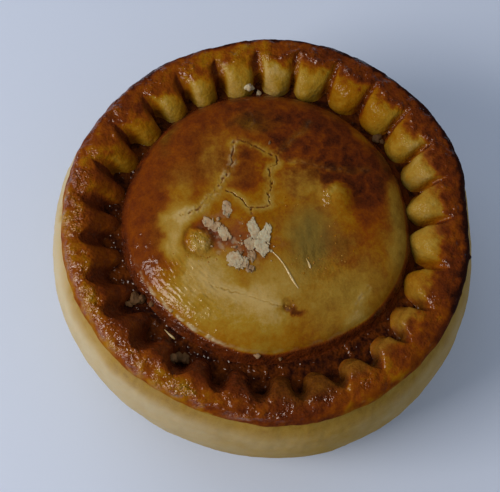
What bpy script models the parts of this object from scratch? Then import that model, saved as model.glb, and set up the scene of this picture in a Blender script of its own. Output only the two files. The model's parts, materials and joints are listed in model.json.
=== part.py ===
"""A hand-raised pork pie as one solid: bowed wall, rounded rim, thumb crimps and a domed lid.

Units are metres and +Z is up. The pie stands on its flat base, and the origin is the middle
of that base. Wall, crimps and lid are baked into one piece, so they are one closed body.
"""

import math
import random

import bmesh
import bpy
from mathutils import Matrix, Vector

# Driving dimensions of the turned body.
PIE_HEIGHT = 0.0500       # base to the crest of the rim
RIM_RADIUS = 0.0520       # outer edge of the browned rim band
RIM_DROP = 0.0050         # crest down to that outer edge
CREST_RADIUS = 0.0485     # ring where the rim is highest
BULGE_RADIUS = 0.0553     # widest ring of the bowed wall
BULGE_HEIGHT = 0.0270
FOOT_RADIUS = 0.0505      # wall just above the rounded foot
FOOT_HEIGHT = 0.0050
BASE_RADIUS = 0.0455      # flat face that the pie stands on

# Driving dimensions of the lid and of the trough round it.
LID_RADIUS = 0.0355
LID_EDGE_HEIGHT = 0.0430
LID_TOP_HEIGHT = 0.0520
LID_FULLNESS = 2.5        # 2 is an elliptic dome, more gives steeper sides and a flatter top
TROUGH_RADIUS = 0.0390
TROUGH_HEIGHT = 0.0415
POCKET_RADIUS = 0.0455    # steep inner side of the rim, between the crimps
POCKET_ROUNDING = 0.0022

# Crimps: plump folds that run from the crest down to the edge of the lid.
CRIMP_COUNT = 27
CRIMP_RADIUS = 0.0432     # ring of the folds' middles
CRIMP_HEIGHT = 0.0456
CRIMP_HALF_LENGTH = 0.0076
CRIMP_HALF_WIDTH = 0.0047
CRIMP_HALF_DEPTH = 0.0036
CRIMP_SLOPE = math.radians(26.0)
CRIMP_DRIFT = math.radians(2.5)       # how far the hand's spacing runs ahead and behind
CRIMP_DRIFT_TOWARDS = math.radians(38.0)
CRIMP_JITTER = math.radians(0.6)

# Unevenness of a pie raised by hand.
WALL_WOBBLE = 0.00045
RIM_WOBBLE = 0.00060
LID_WOBBLE = 0.00050

# How finely the round shapes are cut.
TURN_STEPS = CRIMP_COUNT * 3
DOME_STEPS = 6
RIM_STEPS = 2
WALL_STEPS = 3
FOOT_STEPS = 3
FOLD_SEGMENTS = 10
FOLD_RINGS = 8
MERGE_DISTANCE = 0.00002

CRUST_COLOUR = (0.36, 0.19, 0.07, 1.0)
CRUST_ROUGHNESS = 0.45


def new_collection(name):
    """Make a collection in the scene."""
    collection = bpy.data.collections.new(name)
    bpy.context.scene.collection.children.link(collection)
    return collection


def crust_material():
    """Baked pastry, brown and slightly glossy."""
    material = bpy.data.materials.new("baked_crust")
    material.use_nodes = True
    shader = material.node_tree.nodes["Principled BSDF"]
    shader.inputs["Base Color"].default_value = CRUST_COLOUR
    shader.inputs["Roughness"].default_value = CRUST_ROUGHNESS
    shader.inputs["Metallic"].default_value = 0.0
    return material


def dome_outline():
    """The lid from its top to its edge, as a superellipse."""
    rise = LID_TOP_HEIGHT - LID_EDGE_HEIGHT
    points = []
    for step in range(DOME_STEPS):
        angle = 0.5 * math.pi * step / DOME_STEPS
        across = math.sin(angle) ** (2.0 / LID_FULLNESS)
        up = math.cos(angle) ** (2.0 / LID_FULLNESS)
        points.append(Vector((LID_RADIUS * across, LID_EDGE_HEIGHT + rise * up)))
    return points


def smooth_through(points, steps):
    """A Catmull-Rom curve through the points, with a few steps to each span."""
    padded = [points[0] * 2 - points[1]] + points + [points[-1] * 2 - points[-2]]
    curve = []
    for index in range(1, len(padded) - 2):
        a, b, c, d = padded[index - 1:index + 3]
        for step in range(steps):
            t = step / steps
            curve.append(0.5 * (
                2 * b + (c - a) * t
                + (2 * a - 5 * b + 4 * c - d) * t ** 2
                + (3 * b - a - 3 * c + d) * t ** 3
            ))
    return curve + [points[-1]]


def rim_outline():
    """From the lid's edge through the trough and over the rim to its outer edge."""
    middle = 0.5 * (TROUGH_HEIGHT + PIE_HEIGHT)
    points = [
        (LID_RADIUS, LID_EDGE_HEIGHT),
        (TROUGH_RADIUS, TROUGH_HEIGHT),
        (POCKET_RADIUS - POCKET_ROUNDING, TROUGH_HEIGHT + 0.5 * POCKET_ROUNDING),
        (POCKET_RADIUS, middle),
        (0.5 * (POCKET_RADIUS + CREST_RADIUS), PIE_HEIGHT - 0.2 * RIM_DROP),
        (CREST_RADIUS, PIE_HEIGHT),
        (0.3 * CREST_RADIUS + 0.7 * RIM_RADIUS, PIE_HEIGHT - 0.3 * RIM_DROP),
        (RIM_RADIUS, PIE_HEIGHT - RIM_DROP),
    ]
    return smooth_through([Vector(point) for point in points], RIM_STEPS)


def wall_outline():
    """The bowed wall below the rim: one parabola above the widest ring and one below it."""
    top = PIE_HEIGHT - RIM_DROP
    points = []
    for step in range(1, WALL_STEPS + 1):
        share = step / WALL_STEPS
        radius = BULGE_RADIUS - (BULGE_RADIUS - RIM_RADIUS) * (1.0 - share) ** 2
        points.append(Vector((radius, top + (BULGE_HEIGHT - top) * share)))
    for step in range(1, WALL_STEPS + 1):
        share = step / WALL_STEPS
        radius = BULGE_RADIUS - (BULGE_RADIUS - FOOT_RADIUS) * share ** 2
        points.append(Vector((radius, BULGE_HEIGHT + (FOOT_HEIGHT - BULGE_HEIGHT) * share)))
    return points


def foot_outline():
    """The rounded foot, a quarter of an ellipse, and the flat base in to the middle."""
    points = []
    for step in range(1, FOOT_STEPS + 1):
        angle = 0.5 * math.pi * step / FOOT_STEPS
        across = BASE_RADIUS + (FOOT_RADIUS - BASE_RADIUS) * math.cos(angle)
        points.append(Vector((across, FOOT_HEIGHT * (1.0 - math.sin(angle)))))
    return points + [Vector((0.0, 0.0))]


def turned_body(collection):
    """The whole pie without its folds: one outline turned about the middle."""
    outline = dome_outline() + rim_outline() + wall_outline() + foot_outline()
    mesh = bpy.data.meshes.new("turned_body")
    vertices = [(radius, 0.0, max(height, 0.0)) for radius, height in outline]
    edges = [(index, index + 1) for index in range(len(vertices) - 1)]
    mesh.from_pydata(vertices, edges, [])
    body = bpy.data.objects.new("turned_body", mesh)
    collection.objects.link(body)
    screw = body.modifiers.new("turn", "SCREW")
    screw.axis = "Z"
    screw.angle = 2.0 * math.pi
    screw.steps = TURN_STEPS
    screw.render_steps = TURN_STEPS
    screw.use_merge_vertices = True
    screw.merge_threshold = MERGE_DISTANCE
    return body


def crimp_angle(index, jitter):
    """Where a fold's middle lies: even spacing, a slow drift and a little jitter."""
    even = 2.0 * math.pi * (index + 0.5) / CRIMP_COUNT
    return even + CRIMP_DRIFT * math.cos(even - CRIMP_DRIFT_TOWARDS) + jitter


def fold_place(angle):
    """Stand one fold on its ring, long way along the radius and tipped down towards the lid."""
    turn = Matrix.Rotation(angle, 4, "Z")
    move = Matrix.Translation((CRIMP_RADIUS, 0.0, CRIMP_HEIGHT))
    tip = Matrix.Rotation(-CRIMP_SLOPE, 4, "Y")
    size = Matrix.Diagonal((CRIMP_HALF_LENGTH, CRIMP_HALF_WIDTH, CRIMP_HALF_DEPTH, 1.0))
    lay_down = Matrix.Rotation(0.5 * math.pi, 4, "Y")
    return turn @ move @ tip @ size @ lay_down


def crimp_folds(collection):
    """All the folds as one guide object: a ball for each, stretched to a fold's size."""
    chance = random.Random(27)
    shape = bmesh.new()
    for index in range(CRIMP_COUNT):
        angle = crimp_angle(index, chance.uniform(-CRIMP_JITTER, CRIMP_JITTER))
        bmesh.ops.create_uvsphere(
            shape,
            u_segments=FOLD_SEGMENTS,
            v_segments=FOLD_RINGS,
            radius=1.0,
            matrix=fold_place(angle),
        )
    mesh = bpy.data.meshes.new("crimp_folds")
    shape.to_mesh(mesh)
    shape.free()
    folds = bpy.data.objects.new("crimp_folds", mesh)
    folds.hide_render = True
    folds.display_type = "WIRE"
    collection.objects.link(folds)
    return folds


def fade(value, low, high):
    """0 below low, 1 above high, smooth between."""
    t = min(max((value - low) / (high - low), 0.0), 1.0)
    return t * t * (3.0 - 2.0 * t)


def hand_raised(point):
    """Move a point of the even pie to where it lies on an uneven one. The base stays flat."""
    x, y, z = point
    radius = math.hypot(x, y)
    angle = math.atan2(y, x)
    up = fade(z, 0.0, PIE_HEIGHT)
    out = fade(radius, LID_RADIUS, RIM_RADIUS)
    wall = WALL_WOBBLE * (math.cos(2 * angle - 0.9) + 0.8 * math.cos(3 * angle - 1.6))
    rim = RIM_WOBBLE * (math.sin(2 * angle + 0.6) + 0.6 * math.sin(5 * angle))
    lid = LID_WOBBLE * (math.cos(angle - 2.6) + math.cos(3 * angle + 0.4)) * radius / LID_RADIUS
    grow = 1.0 + wall * out / max(radius, LID_RADIUS)
    lift = up * (rim * out + lid * (1.0 - out) * fade(z, FOOT_HEIGHT, LID_EDGE_HEIGHT))
    return Vector((x * grow, y * grow, z + lift))


def centre_on_base(mesh):
    """Slide the mesh sideways until the middle of its outer box stands over the origin."""
    for axis in (0, 1):
        places = [vertex.co[axis] for vertex in mesh.vertices]
        middle = 0.5 * (min(places) + max(places))
        for vertex in mesh.vertices:
            vertex.co[axis] -= middle


def pork_pie(parts, guides):
    """The finished pie: the turned body joined with its folds, then made uneven."""
    body = turned_body(guides)
    folds = crimp_folds(guides)
    join = body.modifiers.new("join_folds", "BOOLEAN")
    join.operation = "UNION"
    join.solver = "EXACT"
    join.object = folds

    evaluated = body.evaluated_get(bpy.context.evaluated_depsgraph_get())
    mesh = bpy.data.meshes.new_from_object(evaluated)
    mesh.name = "pork_pie"
    for vertex in mesh.vertices:
        vertex.co = hand_raised(vertex.co)
    centre_on_base(mesh)
    mesh.materials.clear()
    mesh.materials.append(crust_material())
    mesh.shade_smooth()
    mesh.set_sharp_from_angle(angle=math.radians(50.0))

    body.hide_render = True
    body.display_type = "WIRE"
    pie = bpy.data.objects.new("pork_pie", mesh)
    parts.objects.link(pie)
    return pie


def main():
    for thing in list(bpy.data.objects):
        bpy.data.objects.remove(thing)
    parts = new_collection("pork_pie")
    guides = new_collection("guides")
    pork_pie(parts, guides)


main()
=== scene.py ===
"""Pork pie: the looks of a hand-raised pork pie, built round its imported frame.

Lengths in the settings are metres. The shaping is worked out in millimetres, and MM turns it back.
"""
import json
import math

import bpy
import numpy as np
from bpy.props import FloatProperty, FloatVectorProperty, IntProperty, PointerProperty
from mathutils import Matrix, Vector

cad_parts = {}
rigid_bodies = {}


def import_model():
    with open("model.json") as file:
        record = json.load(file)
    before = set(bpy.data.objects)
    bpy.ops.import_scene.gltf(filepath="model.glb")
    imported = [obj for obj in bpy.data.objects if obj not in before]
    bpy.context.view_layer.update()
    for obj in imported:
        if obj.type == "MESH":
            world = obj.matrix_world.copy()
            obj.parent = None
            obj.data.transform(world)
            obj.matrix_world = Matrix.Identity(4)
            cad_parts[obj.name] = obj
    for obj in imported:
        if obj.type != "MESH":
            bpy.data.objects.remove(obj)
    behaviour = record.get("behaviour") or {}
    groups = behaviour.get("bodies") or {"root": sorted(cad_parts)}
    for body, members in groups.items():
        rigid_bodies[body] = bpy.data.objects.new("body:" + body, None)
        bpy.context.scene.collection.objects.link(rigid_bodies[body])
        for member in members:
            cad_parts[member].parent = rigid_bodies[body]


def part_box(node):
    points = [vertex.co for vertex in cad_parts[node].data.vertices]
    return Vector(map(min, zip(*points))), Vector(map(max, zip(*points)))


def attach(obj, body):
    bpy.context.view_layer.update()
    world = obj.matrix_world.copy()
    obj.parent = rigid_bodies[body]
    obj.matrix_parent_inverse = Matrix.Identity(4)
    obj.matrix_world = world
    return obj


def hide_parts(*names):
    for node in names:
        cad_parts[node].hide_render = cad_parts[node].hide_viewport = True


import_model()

bl_info = {
    "name": "Pork Pie",
    "version": (1, 0, 0),
    "blender": (4, 5, 0),
    "location": "View3D > Sidebar > Pork Pie",
    "description": "Builds a hand-raised pork pie with crimped rim, cracked lid, crumbs and glaze",
    "category": "Add Mesh",
}

MM = 0.001
MERGE_DISTANCE = 1e-5  # closes the seam and the poles of a rolled ball, whose radius is 1
HIGH_ABOVE = 0.1  # in metres, clear of everything, where looks straight down start
NODE = "pork_pie"
LOW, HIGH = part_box(NODE)
HALF_WIDTH = 0.25 * (HIGH.x - LOW.x + HIGH.y - LOW.y)


def linear(hex_colour):
    """A linear RGBA colour from an sRGB hex one."""
    channels = [int(hex_colour[i:i + 2], 16) / 255 for i in (1, 3, 5)]
    return (*(c / 12.92 if c <= 0.04045 else ((c + 0.055) / 1.055) ** 2.4 for c in channels), 1.0)


def length_setting(name, description, default):
    """A length in metres that the user can change."""
    return FloatProperty(name=name, description=description, default=default, unit="LENGTH")


def colour_setting(name, description, hex_colour):
    """A colour that the user can change."""
    return FloatVectorProperty(
        name=name, description=description, default=linear(hex_colour), subtype="COLOR", size=4)


class PieShape(bpy.types.PropertyGroup):
    """Sizes of the case, the crimps and the lid."""

    bulge_radius: length_setting("Bulge radius", "Widest ring of the bowed wall", 0.996 * HALF_WIDTH)
    rim_radius: length_setting("Rim radius", "Outer edge of the brown rim band", 0.936 * HALF_WIDTH)
    crest_radius: length_setting("Crest radius", "Ring where the rim is highest", 0.873 * HALF_WIDTH)
    rim_height: length_setting("Rim height", "Crest of the rim above the base", 0.94 * HIGH.z)
    lid_radius: length_setting("Lid radius", "Outer edge of the domed lid", 0.628 * HALF_WIDTH)
    lid_height: length_setting("Lid height", "Top of the lid above the base", 0.995 * HIGH.z)
    floor_height: length_setting("Trough floor", "Floor between lid and rim, above the base", 0.79 * HIGH.z)
    crimp_count: IntProperty(name="Crimps", description="Folds pressed round the rim", default=27, min=3)


class PieColours(bpy.types.PropertyGroup):
    """Colours of the pastry from raw to dark baked, and of what lies on it."""

    raw: colour_setting("Raw", "Pale dough that the oven hardly coloured", "#ac9054")
    straw: colour_setting("Straw", "Lightly baked dough", "#967420")
    golden: colour_setting("Golden", "Baked egg glaze", "#8a5804")
    amber: colour_setting("Amber", "Well baked glaze", "#7a3c06")
    russet: colour_setting("Russet", "Dark glaze", "#5e280a")
    dark: colour_setting("Dark", "Nearly burnt glaze", "#28100a")
    olive: colour_setting("Olive", "Lightly baked glaze over moist filling", "#94762c")
    umber: colour_setting("Umber", "Browner glaze over moist filling", "#60400c")
    waxy: colour_setting("Waxy", "Thin lid with the filling showing through", "#625022")
    # Also the pale line along the lid's edge, which is partly a painted highlight.
    flake: colour_setting("Flake", "Torn pastry and floury dough", "#b8ab8c")
    crumb: colour_setting("Crumb", "Dry crumbs and flakes", "#b7ad8e")
    toasted: colour_setting("Toasted", "Toasted spots on crumbs and flakes", "#a08260")
    toast: colour_setting("Toast", "Browned crumbs in the trough", "#5e4226")
    jelly: colour_setting("Jelly", "Dark juices set in the trough", "#5a2a0a")
    # Pale partly as a painted highlight: the threads and streaks stand in for glints.
    thread_and_glint: colour_setting("Thread", "Threads of set glaze", "#d6bf92")
    bubble: colour_setting("Bubble", "Little bubbles baked in the glaze", "#a87a34")


# Shared geometry helpers -------------------------------------------------------------------


def fade(value, low, high):
    """0 below low, 1 above high, smooth between. The limits may also run downwards."""
    t = np.clip((value - low) / (high - low), 0.0, 1.0)
    return t * t * (3.0 - 2.0 * t)


def bump(distance, radius):
    """A soft round hump: 1 in the middle and 0 from the radius outwards."""
    return fade(distance, radius, 0.0)


def facing(angle, towards, start, full):
    """1 on the side of the pie that faces this angle, fading to 0 between two cosines of the gap."""
    return fade(np.cos(angle - towards), start, full)


NOISE = np.random.default_rng(5)
SHUFFLE = np.tile(NOISE.permutation(256), 2)
SLOPES = NOISE.normal(size=(256, 3))
SLOPES *= 1.4 / np.linalg.norm(SLOPES, axis=1)[:, None]


def lattice_noise(points):
    """Gradient noise at each point, about -1 to 1, with one lump to each unit of length."""
    cell = np.floor(points).astype(int)
    part = points - cell
    ease = part ** 3 * (part * (part * 6.0 - 15.0) + 10.0)
    total = np.zeros(len(points))
    for corner in np.ndindex(2, 2, 2):
        at = (cell + corner) & 255
        slope = SLOPES[SHUFFLE[SHUFFLE[SHUFFLE[at[:, 0]] + at[:, 1]] + at[:, 2]]]
        share = np.prod(np.where(corner, ease, 1.0 - ease), axis=1)
        total += share * np.sum(slope * (part - corner), axis=1)
    return total


def lumps(points, size, octaves=2, seed=0.0):
    """Smooth noise from about -1 to 1 at each point (mm), in lumps of about this size (mm)."""
    places = np.asarray(points) / size + (seed * 3.71, seed * 1.93, seed * 5.37)
    total = np.zeros(len(places))
    for octave in range(octaves):
        total += 0.5 ** octave * lattice_noise(places * 2.0 ** octave)
    return total


def smooth_curve(points, at):
    """Catmull-Rom through the points, read at places where 0 is the first and 1 the second."""
    points = np.asarray(points, float)
    padded = np.vstack([2 * points[0] - points[1], points, 2 * points[-1] - points[-2]])
    index = np.clip(np.floor(at).astype(int), 0, len(points) - 2)
    t = (at - index)[:, None]
    a, b, c, d = (padded[index + k] for k in range(4))
    return 0.5 * (2 * b + (c - a) * t + (2 * a - 5 * b + 4 * c - d) * t ** 2
                  + (3 * b - a - 3 * c + d) * t ** 3)


def path_distance(flat, path):
    """How far each flat point is from a path of straight runs, and how far along it that is."""
    best = np.full(len(flat), 1e9)
    along = np.zeros(len(flat))
    walked = 0.0
    for start, end in zip(path[:-1], path[1:]):
        start = np.asarray(start, float)
        run = np.asarray(end, float) - start
        length = math.hypot(*run)
        share = np.clip((flat - start) @ run / length ** 2, 0.0, 1.0)
        distance = np.linalg.norm(flat - start - share[:, None] * run, axis=1)
        nearer = distance < best
        best[nearer] = distance[nearer]
        along[nearer] = walked + share[nearer] * length
        walked += length
    return best, along / walked


def deselect_all():
    """Leave nothing selected, so that an operator acts only on what comes next."""
    for thing in bpy.context.view_layer.objects:
        thing.select_set(False)


def named(piece, name):
    """Give the piece and its mesh this name."""
    piece.name = name
    piece.data.name = name
    return piece


def vertices_of(piece):
    """The piece's vertices as an array, in metres."""
    places = np.empty(len(piece.data.vertices) * 3)
    piece.data.vertices.foreach_get("co", places)
    return places.reshape(-1, 3)


def move_vertices(piece, places):
    """Put the piece's vertices at these places, in metres."""
    piece.data.vertices.foreach_set("co", np.asarray(places, np.float32).ravel())
    piece.data.update()


def push_out(piece, amounts):
    """Move each vertex along its own normal by so many millimetres."""
    normals = np.empty(len(piece.data.vertices) * 3)
    piece.data.vertices.foreach_get("normal", normals)
    move_vertices(piece, vertices_of(piece) + normals.reshape(-1, 3) * amounts[:, None] * MM)


def paint(piece, name, values):
    """Keep a number for each vertex, or one for all of them, which the material reads by this name."""
    layer = piece.data.attributes.new(name, "FLOAT", "POINT")
    values = np.broadcast_to(np.clip(values, 0.0, 1.0), len(layer.data))
    layer.data.foreach_set("value", values.astype(np.float32))


def rolled_ball(name, segments, rows):
    """Roll a grid into a ball with this many rows from pole to pole, closed along its seam.

    Returns the ball, and the angle and the row of each of its vertices.
    """
    deselect_all()
    bpy.ops.mesh.primitive_grid_add(
        x_subdivisions=segments, y_subdivisions=rows, size=2.0, calc_uvs=False)
    piece = named(bpy.context.object, name)
    sheet = vertices_of(piece)
    turn = sheet[:, 0] * math.pi
    tilt = 0.5 * math.pi * (1.0 - sheet[:, 1])
    move_vertices(piece, np.column_stack(
        [np.cos(turn) * np.sin(tilt), np.sin(turn) * np.sin(tilt), np.cos(tilt)]))
    bpy.ops.object.mode_set(mode="EDIT")
    bpy.ops.mesh.select_all(action="SELECT")
    bpy.ops.mesh.remove_doubles(threshold=MERGE_DISTANCE)
    bpy.ops.mesh.normals_make_consistent(inside=False)
    bpy.ops.object.mode_set(mode="OBJECT")
    ball = vertices_of(piece)
    angle = np.arctan2(ball[:, 1], ball[:, 0])
    row = np.rint(np.arccos(np.clip(ball[:, 2], -1.0, 1.0)) / math.pi * rows).astype(int)
    return piece, angle, row


def finish_piece(piece, material):
    """Give the piece its material and its place in the frame."""
    piece.data.materials.clear()
    piece.data.materials.append(material)
    piece.data.shade_smooth()
    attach(piece, "root")
    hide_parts(NODE)
    return piece


# The case ----------------------------------------------------------------------------------

CASE_SEGMENTS = 810
CRIMP_SEED = 11
CRIMP_TURN = math.radians(-0.3)
# How unevenly a hand spaces the folds: drifts as (degrees, waves round the pie, towards), then stops.
CRIMP_DRIFTS = ((1.3, 1, 105), (0.65, 3, 90), (0.65, 2, 190))
CRIMP_SHIFT = (
    (0, 3.4), (12, 2.7), (25, 1), (38, 0.9), (52, 0.8), (66, 0.2), (80, 0.6), (95, 0.2), (120, 0),
    (146, 0.5), (158, 1), (172, 2), (185, 2.2), (198, 1.6), (211, 1), (224, 0.1), (300, 0), (315, -0.5),
    (330, -1), (343, 0.5),
)

# Unevenness round the rim, as (degrees, value) stops.
RIM_SWELL = (
    (5, -1.3), (20, 0.2), (35, 0.6), (60, 0.4), (90, -0.3), (107, -0.9), (128, -0.2), (145, -0.3),
    (162, 0.3), (200, 0.5), (225, 0.2), (250, -0.6), (275, 0.2), (300, -0.2), (322, -0.6), (342, -0.7),
)
TIP_REACH = (
    (6, -1.2), (20, 0.5), (34, 1.8), (48, 2.6), (61, 1.6), (74, 0.8), (95, 0.3), (115, -0.3), (135, 0.2),
    (160, 0.8), (190, 1), (225, 1.3), (260, 1.8), (290, 2.3), (310, 3), (325, 2.4), (337, 0), (350, -1),
)
POCKET_END = (
    (0, -1.9), (15, -1.6), (30, -0.9), (45, -0.2), (75, -0.3), (100, -1.3), (130, -1.8), (155, -1.6),
    (180, -0.6), (200, 0.2), (225, 0), (245, -1), (270, -1.2), (300, -1.6), (330, -2),
)
POCKET_WIDTH = (
    (0, 0.45), (30, 0.4), (60, 0.35), (80, 0.5), (95, 0.7), (120, 0.85), (150, 0.95), (190, 1.1),
    (225, 1.15), (250, 1.1), (280, 1.05), (300, 0.95), (320, 0.8), (340, 0.5),
)
WALL_SWELL = (
    (15, 0), (60, 0), (120, 0), (170, 0.1), (200, 0.4), (225, 0), (243, -0.4), (262, -0.6), (285, 0.5),
    (320, 0.3), (342, -0.3),
)
RIM_BAKE = (
    (0, 0.79), (33, 0.84), (60, 0.82), (82, 0.74), (101, 0.52), (126, 0.74), (149, 0.68), (165, 0.62),
    (181, 0.57), (212, 0.55), (230, 0.56), (251, 0.56), (276, 0.82), (290, 0.7), (306, 0.6), (330, 0.8),
)
# How brown the back of each fold is round the rim. From about 165 to 312 degrees the values are partly
# painted shade, for folds that face away from the lamp.
FOLD_BAKE_AND_SHADE = (
    (0, 0.25), (18, 0.25), (30, 0.26), (40, 0.32), (50, 0.43), (61, 0.38), (73, 0.25), (88, 0.09),
    (101, 0.22), (117, 0.31), (131, 0.36), (150, 0.5), (165, 0.66), (180, 0.73), (200, 0.77), (225, 0.8),
    (250, 0.83), (270, 0.82), (283, 0.76), (296, 0.72), (312, 0.66), (324, 0.58), (338, 0.5), (350, 0.36),
)
BAND_CRUST = (
    (0, 0.4), (45, 0.65), (90, 0.45), (130, 0.45), (160, 0.85), (200, 1), (250, 1), (285, 0.65),
    (315, 0.5), (340, 0.4),
)
WALL_FLOUR = (
    (0, 0.3), (60, 0.4), (120, 0.5), (180, 0.9), (198, 0.92), (215, 0.82), (235, 0.7), (262, 0.32),
    (285, 0.12), (305, 0.24), (330, 0.28),
)
GROOVE_FILL = (
    (0, 0.25), (30, 0.3), (50, 0.45), (66, 0.58), (80, 0.58), (93, 0.52), (107, 0.4), (121, 0.35),
    (146, 0.32), (172, 0.34), (200, 0.3), (225, 0.25), (250, 0.08), (275, 0), (300, 0.05), (330, 0.15),
)
TIP_SLUMP = (
    (0, 0), (60, 0), (110, 0.1), (128, 0.4), (142, 1), (157, 1.9), (170, 2.6), (190, 2.9), (225, 3),
    (250, 2.4), (270, 1.9), (290, 1.5), (305, 0.9), (325, 0.2),
)
CREST_RIDGE = ((0, 0.2), (20, 0.6), (38, 1), (90, 0.9), (108, 0.5), (125, 0.2), (180, 0), (300, 0))
# How much darker the outer edge of the rim band is round the rim, most on the side away from the lamp.
OUTER_EDGE_DARKER = (
    (0, 0.9), (45, 1), (95, 0.8), (120, 0.4), (150, 0.2), (180, 0), (250, 0), (280, 0), (320, 0),
    (345, 0.6),
)
# Lumps low on the wall as (degrees, height, radius in mm), and the wall's shift in x and y in mm.
FOOT_LUMPS = ((-77, 9, 1.3), (-60, 8, 0.9), (-41, 12, 1.6), (-9, 46, 0.8))
WALL_SHIFT = (0.5, -0.1)
# Sides of the pie, as an angle in radians and the two cosines that facing() fades between.
TAWNY_SIDE = (0.4, -0.2, 0.3)
# Where the folds get painted shade on one side and painted light on the other.
LAMP_SHADED_FOLDS_SIDE = (2.25, 0.5, 0.9)
GREEN_SIDE = (math.radians(303.0), 0.7, 0.96)
BARE_EDGE_SIDE = (0.35, -0.55, 0.0)
DUSTY_SIDE = (0.1, 0.75, 0.97)

# Profiles down a fold, as levels and the value at each: how square and how round its cross-section
# is, and how wide the pocket beside it is as a share of the fold's width.
SQUARENESS = ((3.0, 4.5, 6.0, 7.0, 8.0), (1.8, 1.8, 2.2, 3.2, 6.0))
ROUNDNESS = ((3.0, 5.0, 6.5), (1.0, 0.85, 0.60))
POCKET_SHARE = (
    (3.0, 4.0, 5.0, 6.0, 7.0, 7.6, 8.2, 8.6, 8.8), (0.10, 0.12, 0.17, 0.22, 0.26, 0.26, 0.20, 0.10, 0.0))
# How much one fold's reach and height in mm, its lean and its shade differ from the next one's.
FOLD_JITTER = (0.5, 0.4, 0.1, 1.0)
# Lumps in the dough and its browning, from swells down to specks: width in mm, octaves and seed.
CASE_LUMPS = ((11, 2, 2), (3.2, 2, 3.5), (1.7, 2, 3), (4.5, 2, 9), (6, 3, 6), (2.2, 3, 7), (1, 2, 6.5))


def round_the_rim(angle, stops):
    """A value for each angle, smooth between (degrees, value) stops that run once round the pie."""
    turned = [(d - 360.0, v) for d, v in stops[-2:]] + list(stops) + [(d + 360.0, v) for d, v in stops[:2]]
    at = np.interp(np.degrees(angle) % 360.0, [stop[0] for stop in turned], range(len(turned)))
    return smooth_curve([(stop[1],) for stop in turned], at)[:, 0]


def groove_angles(count):
    """Where the grooves between the folds lie, spaced as unevenly as a hand spaces them."""
    chance = np.random.default_rng(CRIMP_SEED)
    even = 2.0 * math.pi * np.arange(count) / count
    angles = even + CRIMP_TURN + np.radians(chance.uniform(-0.5, 0.5, count))
    for amount, turns, towards in CRIMP_DRIFTS:
        angles += math.radians(amount) * np.cos(turns * (even - math.radians(towards) / turns))
    return angles + np.radians(round_the_rim(angles, CRIMP_SHIFT))


def across_folds(angle, count):
    """Which fold each angle is in, and where across it: -0.5 and 0.5 in the grooves beside it."""
    grooves = groove_angles(count)
    edges = np.append(grooves, grooves[0] + 2.0 * math.pi)
    turned = (angle - edges[0]) % (2.0 * math.pi) + edges[0]
    fold = np.clip(np.searchsorted(edges, turned, side="right") - 1, 0, count - 1)
    return fold, (turned - edges[fold]) / (edges[fold + 1] - edges[fold]) - 0.5


def case_outline(shape):
    """The case's outline from the middle of the trough's floor to the middle of its base.

    Each line is (radius, height) in a pocket, (radius, height) along a fold, both in mm, and the
    number of rows to the next line.
    """
    rim = shape.rim_radius / MM
    crest = shape.crest_radius / MM
    top = shape.rim_height / MM
    floor = shape.floor_height / MM
    lid = shape.lid_radius / MM
    bulge = shape.bulge_radius / MM
    folded = (
        ((lid + 2.6, floor + 0.3), (lid + 2.0, floor + 0.2), 6),
        ((lid + 5.0, floor + 0.5), (lid + 1.4, floor + 1.3), 8),
        ((lid + 7.2, floor + 1.0), (lid + 1.9, floor + 3.5), 8),
        ((lid + 9.2, floor + 2.3), (lid + 3.9, floor + 5.4), 8),
        ((lid + 10.4, floor + 4.3), (lid + 6.9, floor + 6.7), 8),
        ((crest - 1.4, top - 1.4), (crest - 2.9, top - 0.5), 8),
        ((crest, top - 0.1), (crest - 0.2, top), 8),
    )
    # Inside the folds and outside the crest there is no difference between pockets and folds.
    floor_lines = ((0.0, floor - 0.2, 1), (0.6 * lid, floor - 0.2, 2), (lid - 2.0, floor - 0.2, 4))
    outer_lines = (
        (0.5 * (crest + rim) + 0.2, top - 0.6, 7),
        (rim - 0.4, top - 2.0, 6),
        (rim, top - 3.7, 5),
        (rim - 0.4, top - 4.8, 4),
        (0.45 * rim + 0.55 * bulge, top - 10.5, 6),
        (bulge - 0.4, top - 16.0, 5),
        (bulge, top - 22.0, 5),
        (bulge - 0.7, top - 29.0, 5),
        (bulge - 2.4, top - 37.0, 4),
        (bulge - 4.6, 4.4, 3),
        (bulge - 6.2, 1.5, 3),
        (bulge - 8.0, 0.25, 2),
        (bulge - 9.8, 0.0, 1),
        (20.0, 0.0, 1),
        (0.0, 0.0, 0),
    )
    inner, outer = ([(line[:2], line[:2], line[2]) for line in part] for part in (floor_lines, outer_lines))
    return [*inner, *folded, *outer]


# Places down the case's outline, as numbers of its lines. TIP and BACK are the folds' own.
TROUGH, TIP, BACK, SHOULDER, CREST = 3, 5, 7, 8, 9
BAND, EDGE, NECK, BULGE, FOOT = 10.5, 12, 13, 16, 19


def pocket_depth(across, level, width):
    """How deep the pressed pockets are at each place: 1 along a pocket's middle and 0 on a fold."""
    half = width * np.interp(level, *POCKET_SHARE)
    away = (0.5 - np.abs(across)) / np.maximum(half, 1e-4)
    return fade(away, 1.45, 0.15) * (half > 1e-3)


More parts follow.
